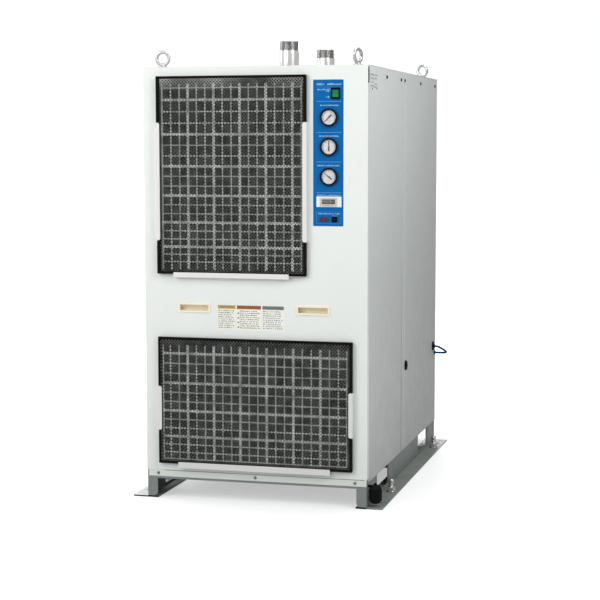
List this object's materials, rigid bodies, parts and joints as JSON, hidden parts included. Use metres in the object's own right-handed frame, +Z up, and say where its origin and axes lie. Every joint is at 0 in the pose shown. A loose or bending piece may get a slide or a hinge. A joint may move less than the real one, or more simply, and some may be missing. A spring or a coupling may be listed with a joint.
{
  "type": "refrigerated air dryer",
  "caption": "Cabinet refrigerated compressed-air dryer: front panel with lift-out air filters and instrument strip, roof pipe ends and lifting eyes, base rails with fork pockets.",
  "frame": {"origin": "on the floor under the middle of the cabinet, at the centre of the anchor hole rectangle", "axes": "+Z up, -Y out of the front panel, +X to the right seen from the front"},
  "size_m": [0.8194, 1.2152, 1.45],
  "materials": {
    "front_paint": "satin off-white powder coat, faint orange peel",
    "side_paint": "satin off-white powder coat",
    "bracket_paint": "satin off-white paint",
    "rail_paint": "semi-matt grey paint",
    "strip_paint": "semi-matt light grey paint",
    "galvanised": "galvanised sheet",
    "zinc_plate": "bright zinc plate",
    "pipe_steel": "bare steel pipe, slightly dull",
    "eye_steel": "zinc plated forging",
    "filter_black": "moulded black",
    "grid_grey": "moulded light grey",
    "net_dark": "woven filter net",
    "plate_blue": "satin blue overlay",
    "case_black": "black moulding",
    "black_matt": "matt black moulding",
    "handle_cream": "cream moulding",
    "label_film": "printed film",
    "dial_white": "printed dial",
    "lens_glass": "clear flat window",
    "needle_black": "matt black",
    "rocker_green": "green translucent rocker",
    "meter_beige": "beige moulding",
    "lamp_red": "red lens",
    "tube_blue": "blue polyurethane tube",
    "rubber_black": "black rubber",
    "compressor_black": "black gloss paint",
    "fin_aluminium": "plain fins",
    "vessel_grey": "insulated casing",
    "copper": "bare copper tube",
    "box_plastic": "light grey enclosure"
  },
  "bodies": {
    "cabinet": {"left_rail": "rail_paint", "right_rail": "rail_paint", "base_tray": "galvanised", "front_cross_member": "strip_paint", "cross_beams": "rail_paint", "inner_frame": "galvanised", "left_rail_foot": "rail_paint", "right_rail_foot": "rail_paint", "roof_panel": "front_paint", "left_side_panel_front": "side_paint", "left_side_panel_rear": "side_paint", "right_side_panel_front": "side_paint", "right_side_panel_rear": "side_paint", "rear_panel": "side_paint", "instrument_plate": "plate_blue", "instrument_bracket": "galvanised", "gauge_cases": "case_black", "gauge_dials": "dial_white", "gauge_lenses": "lens_glass", "switch_frame": "black_matt", "hour_meter": "meter_beige", "alarm_lamp": "lamp_red", "button_frame": "black_matt", "eye_bolts": "eye_steel", "air_inlet_pipe": "pipe_steel", "air_outlet_pipe": "pipe_steel", "compressor": "compressor_black", "compressor_feet": "rubber_black", "condenser_coil": "fin_aluminium", "fan_shroud": "galvanised", "fan_motor": "compressor_black", "heat_exchanger": "vessel_grey", "moisture_separator": "vessel_grey", "auto_drain": "black_matt", "refrigerant_piping": "copper", "electrical_box": "box_plastic", "power_bushing": "rubber_black", "drain_tube_fitting": "black_matt", "drain_tube": "tube_blue", "strainer_head": "black_matt", "panel_screws": "zinc_plate", "levelling_bolts": "zinc_plate"},
    "front_panel": {"front_panel": "front_paint", "front_panel_flanges": "front_paint", "filter_brackets": "bracket_paint", "pull_handles": "handle_cream", "information_label": "label_film"},
    "upper_filter": {"upper_filter_frame": "filter_black", "upper_filter_grid": "grid_grey", "upper_filter_net": "net_dark"},
    "lower_filter": {"lower_filter_frame": "filter_black", "lower_filter_grid": "grid_grey", "lower_filter_net": "net_dark"},
    "fan": {"fan_rotor": "black_matt"},
    "gauge_needle_1": {"needle_1": "needle_black"},
    "gauge_needle_2": {"needle_2": "needle_black"},
    "gauge_needle_3": {"needle_3": "needle_black"},
    "power_rocker": {"switch_rocker": "rocker_green"},
    "reset_plunger": {"reset_button": "case_black"},
    "strainer_cup": {"strainer_bowl": "black_matt"}
  },
  "joints": [
    {"name": "front_panel_pull", "type": "slide", "parent": "cabinet", "child": "front_panel", "axis": [0, -1, 0], "range_m": [0, 0.15]},
    {"name": "upper_filter_lift", "type": "slide", "parent": "front_panel", "child": "upper_filter", "axis": [0, 0, 1], "range_m": [0, 0.48]},
    {"name": "lower_filter_lift", "type": "slide", "parent": "front_panel", "child": "lower_filter", "axis": [0, 0, 1], "range_m": [0, 0.17]},
    {"name": "fan_spin", "type": "hinge", "parent": "cabinet", "child": "fan", "pos_m": [0, 0.528, 1], "axis": [0, 1, 0], "continuous": true},
    {"name": "needle_1_turn", "type": "hinge", "parent": "cabinet", "child": "gauge_needle_1", "pos_m": [0.2385, -0.6035, 1.207], "axis": [0, 1, 0], "range_deg": [0, 270]},
    {"name": "needle_2_turn", "type": "hinge", "parent": "cabinet", "child": "gauge_needle_2", "pos_m": [0.2385, -0.6035, 1.1175], "axis": [0, 1, 0], "range_deg": [-135, 135]},
    {"name": "needle_3_turn", "type": "hinge", "parent": "cabinet", "child": "gauge_needle_3", "pos_m": [0.2385, -0.6035, 1.0266], "axis": [0, 1, 0], "range_deg": [-81, 189]},
    {"name": "rocker_tip", "type": "hinge", "parent": "cabinet", "child": "power_rocker", "pos_m": [0.259, -0.5992, 1.28], "axis": [1, 0, 0], "range_deg": [-16, 0]},
    {"name": "reset_press", "type": "slide", "parent": "cabinet", "child": "reset_plunger", "axis": [0, 1, 0], "range_m": [0, 0.003], "stiffness_N_per_m": 300},
    {"name": "strainer_cup_turn", "type": "hinge", "parent": "cabinet", "child": "strainer_cup", "pos_m": [0.381, -0.572, 0.04], "axis": [0, 0, 1], "range_deg": [0, 45]}
  ]
}
